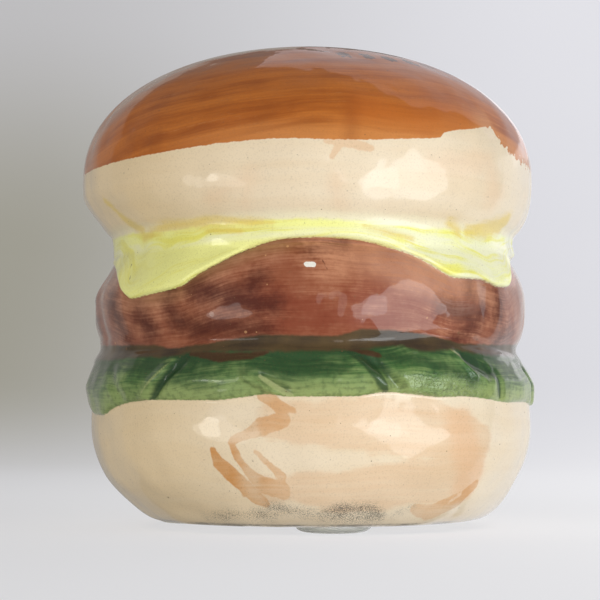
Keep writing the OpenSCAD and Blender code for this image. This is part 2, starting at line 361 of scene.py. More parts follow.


# The painter's strokes, each through (azimuth, height, half width) points; the leaf_shade strokes are
# painted shade
STROKES = {
    "top_smear": [[(4.2, 95.2, 1), (9, 94.6, 1.3), (14.5, 93.4, 0.9)], [(7, 94, 1), (5.4, 91.2, 0.7)]],
    "tan_stroke": [
        [(-24.3, 21, 0.9), (-23.2, 18, 1.7), (-20.6, 15.4, 2.1), (-18, 12.6, 2), (-15.4, 9.6, 2.1),
         (-13.6, 8.4, 1.4)], [(-17.6, 10.4, 1), (-19.2, 9.8, 0.3)],
        [(-19.4, 22.8, 0.9), (-18, 19, 0.9), (-15.6, 15.6, 1.1), (-12.6, 12.6, 2.2), (-8, 11.4, 2.4)],
        [(-19, 23.4, 0.9), (-15.5, 24.6, 1.3), (-12, 26.6, 2.2), (-7, 28.2, 2)],
        [(-13.4, 20.6, 0.5), (-10.8, 18, 0.7), (-7.6, 14.8, 1.2)],
        [(-11.2, 34.2, 1.6), (-8, 31.8, 1.5), (-4.2, 30.4, 0.7)],
        [(28.6, 6.4, 1.2), (35, 5.4, 2.2), (43.2, 8.2, 2.2), (48.4, 12, 1.2)]],
    "tan_gaps": [
        [(-16.6, 21.8, 0.9), (-14, 18.8, 1.3), (-12.6, 16.6, 0.4)], [(40.4, 7.8, 0.5), (43.6, 9.8, 0.6)]],
    "wash": [
        [(-9, 27.6, 4.6), (4, 27, 6.5), (30, 26, 7.5), (43, 22, 7)],
        [(-12, 11.5, 3), (2, 11, 5), (26, 13, 6), (42, 14, 7.5)]],
    "pale": [[(-10, 20.5, 1.5), (0, 19.4, 2.6), (12, 19.2, 1.6)], [(-23, 30, 2.4), (-14, 30.4, 2.6)]],
    "patty_dark": [
        [(-29, 59.6, 1.2), (-23, 58.6, 1.9), (-15, 56.6, 2.2), (-9, 55.2, 1.2)],
        [(-14, 59, 1.2), (-12, 62.6, 0.8)],
        [(-30, 50.6, 1.2), (-23, 51.2, 1.6), (-16, 50.2, 1.9), (-10, 50.2, 1.2)],
        [(-36.5, 60, 0.7), (-37.5, 56, 1), (-35, 52.6, 1.1), (-30, 51, 0.8)],
        [(-60, 58, 2), (-57, 53, 2.6), (-55, 49, 1.4)], [(-48, 53.4, 1.2), (-44, 51.2, 1.7)],
        [(44.5, 63, 0.9), (44, 60.5, 1.4)], [(35, 56, 0.8), (40, 54.4, 2.2), (45, 53.6, 2)],
        [(49.5, 55.6, 0.9), (45, 51.4, 1.7), (40, 47.8, 1.3)], [(57, 58.4, 1), (56.4, 54.6, 1.4)],
        [(66, 51.2, 1), (59, 48.6, 1.5)], [(1, 69.2, 0.3), (4.4, 70.2, 0.7), (9, 71, 0.5)],
        [(100, 60, 1.6), (108, 52, 2.4)], [(128, 52, 1.4), (140, 54, 2.4)],
        [(165, 58, 1.4), (178, 52, 2.2)], [(-150, 60, 1.4), (-140, 52, 2.4)],
        [(-112, 57, 1.4), (-100, 51, 2.2)], [(-84, 60, 1.2), (-78, 52, 2)]],
    "patty_red": [
        [(-8, 51, 2), (10, 52.5, 2.6), (28, 51.5, 2.4), (46, 52.5, 2.6)],
        [(10, 58, 1), (22, 57, 1.6), (30, 56, 0.8)], [(-12, 57, 2), (2, 55, 1)],
        [(40, 57.5, 1.4), (50, 55, 2.2)], [(60, 60, 2.4), (66, 52, 3)], [(-78, 58, 3), (-66, 51, 3)],
        [(90, 52, 2.4), (150, 53, 3.2)], [(-175, 52, 3), (-100, 53, 2.6)]],
    "leaf_line": [
        [(-42.2, 33, 0.7), (-36.5, 38.4, 0.8), (-31, 43.8, 1)],
        [(10.2, 45.2, 1.2), (13.8, 42, 1.5), (16.6, 36.8, 1.2), (17.6, 35, 0.5)],
        [(41, 44, 1), (45.5, 42, 1.7)], [(48.8, 42, 0.4), (52.2, 38, 0.7), (53, 34.2, 0.5)],
        [(74, 44, 0.5), (78, 34, 0.7)], [(95, 44, 1), (103, 34, 0.8)], [(124, 45, 1), (116, 35, 0.9)],
        [(150, 44, 1.1), (160, 34, 0.8)], [(-176, 44, 0.9), (-168, 34, 0.8)],
        [(-146, 45, 1), (-154, 34, 0.9)], [(-122, 44, 1.1), (-114, 34, 0.8)],
        [(-92, 45, 0.9), (-84, 34, 0.8)]],
    # painted shade on the upper lettuce, under the overhanging patty
    "leaf_shade": [
        [(-16, 40.4, 1), (-8, 41, 2), (4, 41.4, 2.2), (9, 40.4, 1)],
        [(14, 43.6, 1), (26, 43, 1.4), (34, 41, 1.8), (42, 38, 1.2)],
        [(-60, 42, 1.5), (-48, 42, 2.2), (-36, 42, 1)], [(110, 42, 1.5), (130, 41, 2)],
        [(-170, 41, 2), (-150, 42, 1.5)], [(-110, 41, 2), (-90, 40, 1.8)]],
    "leaf_vein": [
        [(-11.6, 38.6, 0.5), (-8.4, 36.2, 0.7), (-4.8, 34, 0.7)],
        [(36.2, 46.8, 0.3), (40.2, 44, 0.35), (43.6, 39.2, 0.3)],
        [(-45, 34.2, 0.1), (-39, 39.2, 0.3), (-35, 43, 0.1)], [(86, 42, 0.4), (91, 36, 0.6)],
        [(138, 42, 0.4), (144, 36, 0.6)], [(-132, 42, 0.4), (-138, 36, 0.6)]],
    "slop": [
        [(-30, 44.4, 0.7), (-22, 43.4, 1.2), (-14, 43.4, 0.8), (-10, 44.6, 0.5)],
        [(10, 45.4, 0.5), (17, 43.8, 0.7)]],
    "gold": [
        [(-52, 74.4, 0.6), (-40, 76.2, 0.9), (-26, 76.3, 0.9), (-14, 75.9, 0.8), (-9, 75.6, 0.3)],
        [(-26, 74.6, 0.3), (-17, 73.8, 0.4)], [(38.6, 76.8, 0.5), (42.6, 74.8, 0.8)],
        [(14, 75.2, 0.3), (22, 73.4, 0.4), (27, 72.4, 0.2)],
        [(46, 75, 0.9), (54, 76.4, 2), (62, 78.4, 2.4)],
        [(-62, 84, 0.7), (-57, 78.5, 1.2), (-52, 75.6, 1)]],
    "dirt": [
        [(-13.5, 6.9, 0.6), (-9, 6.8, 1.5), (-4, 6, 1.4), (0, 5.4, 1)],
        [(1, 5, 1.4), (8, 5.4, 2.4), (16, 5.2, 2), (19, 4.4, 1)], [(23, 4.9, 0.3), (29, 7.6, 0.25)],
        [(-36, 4.2, 0.9), (-22, 4.8, 1.4), (-12, 5.2, 1.2)], [(96, 5, 1.2), (120, 6, 2)],
        [(-150, 5, 1.4), (-118, 5, 1.6)]],
    "glow": [[(12, 104, 3.5), (28, 101.5, 4), (44, 103, 2.5)]],
    "band": [[(10.1, 105, 1.4), (9.6, 96, 1.6)], [(-48, 98.6, 1.2), (-39, 97.6, 1.8)]],
    "peach": [
        [(-24, 82, 1.5), (-14, 86, 2.2), (-15, 81, 1.5)], [(6, 86, 2.4), (7, 80, 2.4)],
        [(30, 90, 2), (48, 93, 3), (52, 84, 3.5)], [(38, 27, 4), (44, 14, 5)]],
    "nicks": [
        [(-55.4, 67.8, 0.25), (-55, 66.9, 0.3)], [(-53, 64.6, 0.2), (-52.4, 63.4, 0.25)],
        [(3.3, 66.8, 0.16), (4.6, 64.2, 0.12)], [(-24.6, 47.9, 0.1), (-24.5, 47.8, 0.1)]],
    "chip": [[(-0.5, 65.55, 0.62), (1.3, 65.5, 0.66)]],
}


def paint_fields(z):
    """Depths inside the painter's marks, in mm: positive where the paint lies."""
    fields = {name: np.max([brush(z, *points) for points in strokes], axis=0)
              for name, strokes in STROKES.items()}
    fields["tan_stroke"] = np.minimum(fields["tan_stroke"], -fields.pop("tan_gaps"))
    return fields


def soften(r, z):
    """Glaze pooled in the two grooves rounds them off."""
    near = np.maximum(smooth(-np.abs(z - groove), -2.6, -1.4), smooth(-np.abs(z - notch), -2.4, -1.2))
    for _ in range(14):
        middle = (r[:-2] + 2 * r[1:-1] + r[2:]) / 4
        r[1:-1] += near[1:-1] * (middle - r[1:-1])
    return r


def crown_rows():
    """Rows from the slot's rounded lip out over the crown."""
    lip, middle, rim = slot_outline(0), slot_outline(0.35), slot_outline(0.9)
    rows = [(lip, crown_height(lip) - 0.9), (middle, crown_height(middle) - 0.25), (rim, crown_height(rim))]
    for share in np.linspace(0, 1, 25)[1:]:
        circle = 2.0 + (EASE_R - 2.0) * share
        r = rim * (1 - share) + np.maximum(circle, rim + 0.3) * share
        rows.append((r, crown_height(r)))
    start = math.acos((EASE_R / bun_r) ** (CROWN_POWER / 2))
    for angle in np.linspace(start, 0, 56)[1:]:
        r = np.full(COLUMNS, bun_r * math.cos(angle) ** (2 / CROWN_POWER))
        rows.append((r, crown_height(r)))
    return rows


def base_rows(r_side, z_side):
    """Rows round the low bun's lower edge, carrying on from the slope of the side."""
    slope = (r_side[-2] - r_side[-1]) / (z_side[-2] - z_side[-1])
    corner_r = r_side[-1] - slope * BASE_ROUND
    foot_r = corner_r - 3.0
    return [((1 - t) ** 2 * r_side[-1] + 2 * t * (1 - t) * corner_r + t * t * foot_r,
             base_z + BASE_ROUND * (1 - t) ** 2) for t in np.linspace(0, 1, 11)[1:]]


def clay_rows():
    """Bare rows: underside, recess and hole for the stopper, cavity, and back up through the slot."""
    hole_r = flange_r - 4.0
    recess_z = base_z + RECESS
    floor_z = recess_z + WALL
    rows = [(40, base_z), (36, base_z), (31, base_z), (flange_r + 3.6, base_z),
            (flange_r + 2.9, base_z + 0.3), (flange_r + 1.2, recess_z - 0.2), (flange_r + 0.6, recess_z),
            (hole_r + 1, recess_z), (hole_r, recess_z + 0.02), (hole_r, floor_z - 0.4),
            (hole_r + 0.6, floor_z), (30, floor_z), (44, floor_z + 1)]
    rows += [(lower_bun_at(z) - WALL, z) for z in np.linspace(floor_z + 4, lettuce_z, 8)]
    rows += [(patty_at(z) - WALL, z) for z in np.linspace(groove_z, cheese_z, 8)]
    rows += [(bun_r - WALL - 4, notch_z + 3), (bun_r - WALL - 0.6, crown_z - 6)]
    for angle in np.linspace(0, math.radians(62), 12):
        r = np.full(COLUMNS, (bun_r - WALL) * math.cos(angle) ** (2 / CROWN_POWER))
        rows.append((r, crown_height(r, WALL)))
    inner_r, slot_r = rows[-1][0], slot_outline(0)
    for share in np.linspace(0, 1, 9)[1:]:
        r = inner_r * (1 - share) + slot_r * share
        rows.append((r, crown_height(r, WALL)))
    return rows


def casting_rows():
    """Radius, height and relief of all rows and columns, and which rows are bare clay."""
    z_side = side_rows()
    r_side, relief_side = outside_radius(z_side)
    r_side = soften(r_side, z_side)
    crown, clay = crown_rows(), clay_rows()
    rows = crown + list(zip(r_side, z_side)) + base_rows(r_side, z_side) + clay
    r, z = [np.array([np.broadcast_to(row[k], COLUMNS) for row in rows], float) for k in (0, 1)]
    relief = np.zeros_like(r)
    relief[len(crown):len(crown) + len(z_side)] = relief_side
    bare = np.arange(len(rows)) >= len(rows) - len(clay)
    bare[0] = True
    return r, z, relief, bare


def build_casting():
    """The casting as one closed grid that starts at the slot's lip and ends inside the slot."""
    r, z, relief, bare = casting_rows()
    x, y = r * np.sin(AROUND), -r * np.cos(AROUND)
    lean = 0.9 * smooth(-z, -46, -30) + 1.5 * smooth(-z, -(base_z + 12), -(base_z + 1))
    x = x + lean * ~bare[:, None] * smooth(r, 38, 44)

    index = np.arange(r.size).reshape(r.shape)
    below, beside = np.roll(index, -1, axis=0), np.roll(index, -1, axis=1)
    quads = np.stack([index, below, np.roll(below, -1, axis=1), beside], axis=-1).reshape(-1, 4)
    points = np.stack([x, y, z], axis=-1).reshape(-1, 3) * MM
    piece = add_piece("glazed_casting", points.tolist(), quads.tolist())

    step = np.hypot(np.diff(r, axis=0, prepend=r[:1]), np.diff(z, axis=0, prepend=z[:1]))
    along = np.cumsum(step.mean(axis=1))[:, None] * np.ones_like(r)
    fields = {"along": along, "relief": relief, "slot_gap": r - slot_outline(0), **paint_fields(z)}
    edges = {"notch": notch, "cheese": cheese_edge, "leaf": leaf_edge, "brown": brown_edge,
             "patty_foot": patty_foot, "leaf_top": leaf_top}
    fields.update({"above_" + name: z - edge for name, edge in edges.items()})
    for name, values in fields.items():
        layer = piece.data.attributes.new(name, "FLOAT", "POINT")
        layer.data.foreach_set("value", np.ascontiguousarray(values, np.float32).ravel())
    piece.data.polygons.foreach_set("material_index", np.repeat(bare, COLUMNS).astype(np.int32))
    piece.data.update()
    return piece


# ---- materials


def srgb(red, green, blue):
    """A colour given in screen values from 0 to 255, as linear light."""
    def linear(v):
        v /= 255
        return v / 12.92 if v <= 0.04045 else ((v + 0.055) / 1.055) ** 2.4
    return (linear(red), linear(green), linear(blue), 1)


class Field:
    """A node socket that reads like arithmetic: a number, vector or colour over a surface."""

    def __init__(self, tree, socket):
        self.tree, self.socket = tree, socket

    def math(self, operation, *others):
        node = self.tree.nodes.new("ShaderNodeMath")
        node.operation = operation
        for place, value in zip(node.inputs, (self,) + others):
            plug(self.tree, place, value)
        return Field(self.tree, node.outputs[0])

    def __add__(self, other):
        return self.math("ADD", other)

    def __sub__(self, other):
        return self.math("SUBTRACT", other)

    def __mul__(self, other):
        return self.math("MULTIPLY", other)

    def __truediv__(self, other):
        return self.math("DIVIDE", other)

    def at_least(self, other):
        return self.math("MAXIMUM", other)

    def step(self, low, high):
        """0 below low, 1 above high, smooth between; low may be above high to turn it over."""
        node = self.tree.nodes.new("ShaderNodeMapRange")
        node.interpolation_type = "SMOOTHSTEP"
        turned = low > high
        values = (min(low, high), max(low, high), 1 if turned else 0, 0 if turned else 1)
        plug(self.tree, node.inputs["Value"], self)
        for name, value in zip(("From Min", "From Max", "To Min", "To Max"), values):
            node.inputs[name].default_value = value
        return Field(self.tree, node.outputs["Result"])


def plug(tree, place, value):
    if isinstance(value, Field):
        tree.links.new(value.socket, place)
    else:
        place.default_value = value


class Paints:
    """The nodes of one material, with the coordinates that brush marks follow."""

    def __init__(self, name):
        self.material = bpy.data.materials.new(name)
        self.material.use_nodes = True
        self.tree = self.material.node_tree
        self.shader = self.tree.nodes["Principled BSDF"]
        split = self.tree.nodes.new("ShaderNodeSeparateXYZ")
        place = self.tree.nodes.new("ShaderNodeTexCoord")
        self.tree.links.new(place.outputs["Object"], split.inputs[0])
        metres = [Field(self.tree, split.outputs[i]) for i in range(3)]
        self.x, self.y, self.z = [m * 1000 for m in metres]
        self.radius = (self.x * self.x + self.y * self.y).math("SQRT").at_least(0.01)
        self.azimuth = self.x.math("ARCTAN2", self.y * -1) * math.degrees(1)

    def attribute(self, name):
        node = self.tree.nodes.new("ShaderNodeAttribute")
        node.attribute_name = name
        return Field(self.tree, node.outputs["Fac"])

    def vector(self, x, y, z):
        node = self.tree.nodes.new("ShaderNodeCombineXYZ")
        for place, value in zip(node.inputs, (x, y, z)):
            plug(self.tree, place, value)
        return Field(self.tree, node.outputs[0])

    def noise(self, where, detail=2, rough=0.5):
        node = self.tree.nodes.new("ShaderNodeTexNoise")
        plug(self.tree, node.inputs["Vector"], where)
        for name, value in (("Scale", 1), ("Detail", detail), ("Roughness", rough)):
            node.inputs[name].default_value = value
        return Field(self.tree, node.outputs["Fac"])

    def bristles(self, length, width, drift=0, sweep=0, up=None):
        """Streaks that run round the casting, of that length and width in mm.

        A sweep lowers them towards the back left. They keep to lines of equal up, which is the
        distance down the wall unless another field is given.
        """
        turn = bun_r / length
        lift = self.noise(self.vector(self.x / 30, self.y / 30, self.z / 30)) * drift
        if sweep:
            facing = (self.x * 0.26 - self.y * 0.97) / self.radius
            lift = lift + (facing * -1 + 1) * -sweep
        up = up or self.attribute("along")
        where = self.vector(self.x / self.radius * turn, self.y / self.radius * turn, (up + lift) / width)
        return self.noise(where, detail=3, rough=0.6)

    def mottle(self, size, detail=2, seed=0):
        """Soft blotches of that size in mm, round 0.5."""
        where = self.vector(self.x / size + seed, self.y / size, self.z / size)
        return self.noise(where, detail)

    def specks(self, spacing, largest, share):
        """1 on round specks, which that share of the cells hold, each up to largest times spacing across."""
        node = self.tree.nodes.new("ShaderNodeTexVoronoi")
        plug(self.tree, node.inputs["Vector"], self.vector(self.x, self.y, self.z))
        node.inputs["Scale"].default_value = 1 / spacing
        pick = self.tree.nodes.new("ShaderNodeSeparateColor")
        self.tree.links.new(node.outputs["Color"], pick.inputs[0])
        chance, size = Field(self.tree, pick.outputs[0]), Field(self.tree, pick.outputs[1])
        gap = Field(self.tree, node.outputs["Distance"]) / (size * size * largest + 0.02)
        return gap.step(1, 0.6) * chance.step(share, share - 0.001)

    def mix(self, share, first, second):
        node = self.tree.nodes.new("ShaderNodeMix")
        node.data_type = "RGBA"
        plug(self.tree, node.inputs[0], share)
        plug(self.tree, node.inputs[6], first)
        plug(self.tree, node.inputs[7], second)
        return Field(self.tree, node.outputs[2])

    def bump(self, height, distance):
        node = self.tree.nodes.new("ShaderNodeBump")
        plug(self.tree, node.inputs["Height"], height)
        node.inputs["Distance"].default_value = distance
        return Field(self.tree, node.outputs["Normal"])

    def finish(self, colour, normal=None, coat_normal=None, **sockets):
        plug(self.tree, self.shader.inputs["Base Color"], colour)
        if normal:
            plug(self.tree, self.shader.inputs["Normal"], normal)
        if coat_normal:
            plug(self.tree, self.shader.inputs["Coat Normal"], coat_normal)
        for name, value in sockets.items():
            self.shader.inputs[name.replace("_", " ")].default_value = value
        return self.material


CREAM = srgb(238, 220, 192)
CREAM_WARM = srgb(230, 204, 166)
CREAM_LEFT = srgb(234, 206, 154)
PEACH = srgb(236, 188, 146)
TAN_WASH = srgb(222, 170, 118)
TAN_DARK = srgb(208, 142, 70)
SIENNA_LIGHT = srgb(194, 112, 40)
SIENNA = srgb(172, 90, 24)
SIENNA_DARK = srgb(134, 62, 14)
SIENNA_EDGE = srgb(212, 142, 78)
SIENNA_GLOW = srgb(190, 102, 34)
YELLOW_PALE = srgb(248, 248, 158)
YELLOW_MILK_AND_HIGHLIGHT = srgb(244, 243, 206)
YELLOW = srgb(238, 232, 104)
YELLOW_DEEP = srgb(230, 200, 90)
PATTY_LIGHT = srgb(198, 138, 104)
PATTY_MID = srgb(156, 92, 58)
PATTY_PALE_PINK = srgb(212, 168, 146)
PATTY_RED = srgb(126, 50, 26)
PATTY_DARK = srgb(76, 24, 10)
PATTY_OLIVE = srgb(142, 104, 64)
PATTY_MAUVE = srgb(136, 90, 76)
LEAF_LIGHT = srgb(138, 160, 98)
LEAF_MID = srgb(74, 114, 58)
LEAF_LIME = srgb(158, 170, 104)
LEAF_DARK = srgb(30, 62, 34)
LEAF_PALE = srgb(184, 190, 132)
GROOVE_DARK = srgb(38, 40, 28)
GROOVE_OLIVE = srgb(80, 68, 40)
MARK_OLIVE = srgb(50, 38, 16)
SMUDGE = srgb(88, 86, 80)
IRON = srgb(112, 80, 52)
CHIP_WHITE = srgb(240, 236, 226)


def painted_glaze():
    """Hand-painted underglaze colours with brush marks, under a clear gloss glaze."""
    p = Paints("painted_glaze")
    fine = p.bristles(22, 0.75)
    broad = p.bristles(60, 3.2, drift=6)
    blot = p.mottle(9, detail=3)
    cloud = p.mottle(26, seed=4)
    grain = p.mottle(0.9, detail=3, seed=2)
    tooth = (grain - 0.5) * 0.7 + (p.mottle(3.2, seed=6) - 0.5) * 1.1
    buns = glaze_buns(p, fine, broad, blot, cloud, tooth)
    colour = glaze_crown(p, buns, fine, blot, grain)
    colour = glaze_cheese(p, colour, blot, tooth)
    colour = glaze_patty(p, colour, blot, cloud, grain)
    colour = glaze_lettuce(p, colour, buns, blot, cloud, grain, tooth)
    colour = firing_marks(p, colour, blot, grain)
    ripple = p.mottle(16, detail=1, seed=9) * 1.4 + p.mottle(4.5, detail=1, seed=3) * 0.12
    pitted = p.azimuth.step(20, 30) * p.azimuth.step(48, 40) * p.attribute("above_leaf").step(6.5, 4.5)
    pitted = pitted * p.attribute("above_leaf").step(-0.2, 0.4)
    pits = p.mottle(0.7, detail=1, seed=8).step(0.45, 0.6) * pitted * 0.16
    relief_bump = p.bump(ripple + pits, 0.0011)
    return p.finish(colour, normal=relief_bump, coat_normal=relief_bump, Roughness=0.42,
                    Specular_IOR_Level=0.25, Coat_Weight=1, Coat_Roughness=0.05, Coat_IOR=1.5)


def glaze_buns(p, fine, broad, blot, cloud, tooth):
    """Cream buns with warm washes, and the tan brush marks low on the left."""
    wash = (broad * 0.7 + cloud * 0.6).step(0.52, 0.9)
    colour = p.mix(wash * 0.45, CREAM, CREAM_WARM)
    left = p.azimuth.step(0, -50) * p.azimuth.step(-150, -120)
    colour = p.mix(left * 0.5, colour, CREAM_LEFT)
    peach = (p.attribute("peach") + (blot - 0.5) * 7).step(-2.5, 3) * p.z.step(30, 36)
    low_peach = (p.attribute("peach") + (blot - 0.5) * 5).step(-3, 3) * p.z.step(36, 30)
    colour = p.mix((peach * 0.22).at_least(low_peach * 0.5), colour, PEACH)
    edge = p.attribute("wash") + (blot - 0.5) * 6 + (fine - 0.5) * 2
    tan = edge.step(-0.5, 1.5) * (fine * 0.5 + broad * 0.5 + 0.05)
    colour = p.mix(tan * 0.62, colour, TAN_WASH)
    pale = (p.attribute("pale") + (blot - 0.5) * 3 + (fine - 0.5) * 1.5).step(-0.6, 1.4)
    colour = p.mix(pale * 0.55, colour, CREAM)
    tan_on = (p.attribute("tan_stroke") + tooth * 0.8).step(-0.22, 0.22)
    dark_end = p.azimuth.step(-13, -20) * p.z.step(25, 21)
    body = dark_end * 0.35 + (blot + fine * 0.4).step(0.5, 0.95) * 0.3 + 0.3
    colour = p.mix(tan_on * body, colour, TAN_DARK)
    smear = (p.attribute("top_smear") + tooth * 0.7).step(-0.2, 0.25)
    return p.mix(smear * 0.42, colour, TAN_WASH)


def glaze_crown(p, colour, fine, blot, grain):
    """Sienna streaks, with a bristle edge where the last stroke ends, and dabs beside the slot."""
    lap = p.azimuth.step(46, 54) * p.azimuth.step(80, 70)
    teeth = p.mottle(1.5, seed=1.5) - 0.5 + (p.bristles(2.2, 1.6) - 0.5) * 0.8
    bristle_edge = teeth * (lap * 5.5 + 0.3) + (grain - 0.5) * 0.5
    brown_on = (p.attribute("above_brown") + bristle_edge).step(-0.12, 0.12)
    streak = p.bristles(60, 0.8, drift=4, sweep=13)
    bands = p.bristles(46, 3.4, drift=8, sweep=13)
    sienna = p.mix((streak * 0.6 + bands * 0.5).step(0.42, 0.7) * 0.8, SIENNA_LIGHT, SIENNA)
    sienna = p.mix((bands * 0.8 + blot * 0.3).step(0.5, 0.78) * 0.55, sienna, SIENNA_DARK)
    hair = p.bristles(30, 0.32, drift=4, sweep=13)
    sienna = p.mix((hair * 0.7 + grain * 0.4).step(0.5, 0.74) * 0.3, sienna, SIENNA_DARK)
    sienna = p.mix((streak * 0.5 + hair * 0.4 + grain * 0.3).step(0.62, 0.86) * 0.55, sienna, SIENNA_EDGE)
    edge_light = (p.attribute("above_brown") + (bands - 0.5) * 8).step(7, 0.5) * p.azimuth.step(-45, 5)
    sienna = p.mix(edge_light * 0.62, sienna, SIENNA_EDGE)
    glow = (p.attribute("glow") + (blot - 0.5) * 4 + (fine - 0.5) * 4).step(-2.5, 2.5)
    sienna = p.mix(glow * 0.6, sienna, SIENNA_GLOW)
    band = (p.attribute("band") + (blot - 0.5) * 4).step(-2.4, 1.6)
    sienna = p.mix(band * 0.32, sienna, SIENNA_DARK)
    colour = p.mix(brown_on, colour, sienna)
    turn = (p.azimuth + 180) / 9
    middle = (turn.math("FRACT") - 0.5) * 9 * math.radians(1) * p.radius
    out = p.radius - p.azimuth * 0.04 - 38
    wobble = p.mottle(3.4, seed=12) - 0.5
    out = out + wobble * 5
    dab = (middle * middle / 3.4 + out * out / 7).math("SQRT") + wobble * 1.6 + (grain - 0.5) * 1.2
    window = p.azimuth.step(8, 10) * p.azimuth.step(75, 73) * p.z.step(100, 102)
    return p.mix(dab.step(1.05, 0.75) * window * 0.9, colour, MARK_OLIVE)


def glaze_cheese(p, colour, blot, tooth):
    """Pale yellow with deeper sweeps, painted highlights towards the right and just under the notch, and
    gold lines gathered in the notch.
    """
    above_notch = p.attribute("above_notch")
    sweep = p.bristles(34, 1.9, drift=16)
    yellow = p.mix(sweep.step(0.46, 0.7) * 0.65, YELLOW_PALE, YELLOW)
    thin = p.bristles(22, 0.7, drift=10)
    yellow = p.mix((thin * 0.6 + sweep * 0.5).step(0.54, 0.72) * 0.5, yellow, YELLOW)
    # painted highlight: milky streaks towards the right of the cheese
    right_painted_highlight = p.azimuth.step(4, 26) * (sweep * 0.7 + blot * 0.4).step(0.68, 0.5)
    yellow = p.mix(right_painted_highlight * 0.9, yellow, YELLOW_MILK_AND_HIGHLIGHT)
    # painted highlight: a pale band just under the notch, broken by the streaks
    pale = above_notch.step(-5.2, -3.4) * above_notch.step(-1.2, -2.4) * sweep.step(0.62, 0.4)
    yellow = p.mix(pale * 0.6, yellow, YELLOW_MILK_AND_HIGHLIGHT)
    side = p.azimuth.math("ABSOLUTE").step(36, 64)
    over = above_notch + tooth * 0.8 - side * 1.2
    colour = p.mix(over.step(3.4, 0.4) * 0.5, colour, YELLOW_MILK_AND_HIGHLIGHT)
    colour = p.mix(over.step(0.7, -0.4), colour, yellow)
    gold = (p.attribute("gold") + tooth * 0.9 + (sweep - 0.5) * 3).step(-1.5, 1.1)
    return p.mix(gold * 0.7, colour, YELLOW_DEEP)


def glaze_patty(p, colour, blot, cloud, grain):
    """Red-brown bristle streaks and dark blots with painted shade in the creases, paler pink on the upper
    right, olive where they meet the cheese.
    """
    above_cheese, relief = p.attribute("above_cheese"), p.attribute("relief")
    arch = p.z * 0.55 + above_cheese * 0.45
    streak = p.bristles(10, 0.5, drift=4, up=arch) * 0.45 + p.bristles(26, 1.8, drift=6, up=arch) * 0.35
    streak = streak + p.mottle(1.1, detail=3, seed=13) * 0.2
    patty = p.mix((streak * 0.8 + blot * 0.5).step(0.46, 0.84), PATTY_LIGHT, PATTY_MID)
    red = (cloud * 0.7 + blot * 0.3 + streak * 0.6 + above_cheese * -0.012).step(0.68, 0.98)
    patty = p.mix(red * 0.5, patty, PATTY_RED)
    ruddy = p.attribute("patty_red") + (blot - 0.5) * 9 + (streak - 0.5) * 12 + (grain - 0.5) * 2
    patty = p.mix(ruddy.step(-3.5, 3) * 0.65, patty, PATTY_RED)
    olive = above_cheese.step(-5, -0.4) * p.azimuth.step(6, -6) * (cloud + streak * 0.5).step(0.55, 0.8)
    patty = p.mix(olive * 0.6, patty, PATTY_OLIVE)
    rim = p.azimuth.math("ABSOLUTE").step(34, 50) * (blot + 0.2).step(0.4, 0.8)
    patty = p.mix(rim * 0.35, patty, PATTY_MAUVE)
    depth = p.attribute("patty_dark") + (blot - 0.5) * 7 + (streak - 0.5) * 9 + (grain - 0.5) * 2.5
    # painted shade in the creases, where the relief sinks, mixed with loose dark blots
    blots_and_crease_shade = (blot * 0.8 + relief * -0.2 + (streak - 0.5) * 1.1).step(0.54, 0.84) * 0.55
    patty = p.mix((depth.step(-4.2, 3.2) * 0.88).at_least(blots_and_crease_shade), patty, PATTY_DARK)
    # paler pink streaks on the upper right of the patty
    paler_upper_right = p.azimuth.step(4, 24) * p.azimuth.step(52, 40) * above_cheese.step(-13, -5)
    patty = p.mix(paler_upper_right * streak.step(0.36, 0.62) * 0.4, patty, PATTY_PALE_PINK)
    flecks = p.specks(2.6, 0.16, 0.3) * (cloud + 0.1).step(0.4, 0.6)
    patty = p.mix(flecks * 0.5, patty, TAN_WASH)
    patty_on = (above_cheese + (grain - 0.5) * 0.6).step(0.15, -0.15)
    colour = p.mix(patty_on, colour, patty)
    chip = (p.attribute("chip") + (grain - 0.5) * 0.5).step(-0.1, 0.06)
    return p.mix(chip, colour, CHIP_WHITE)


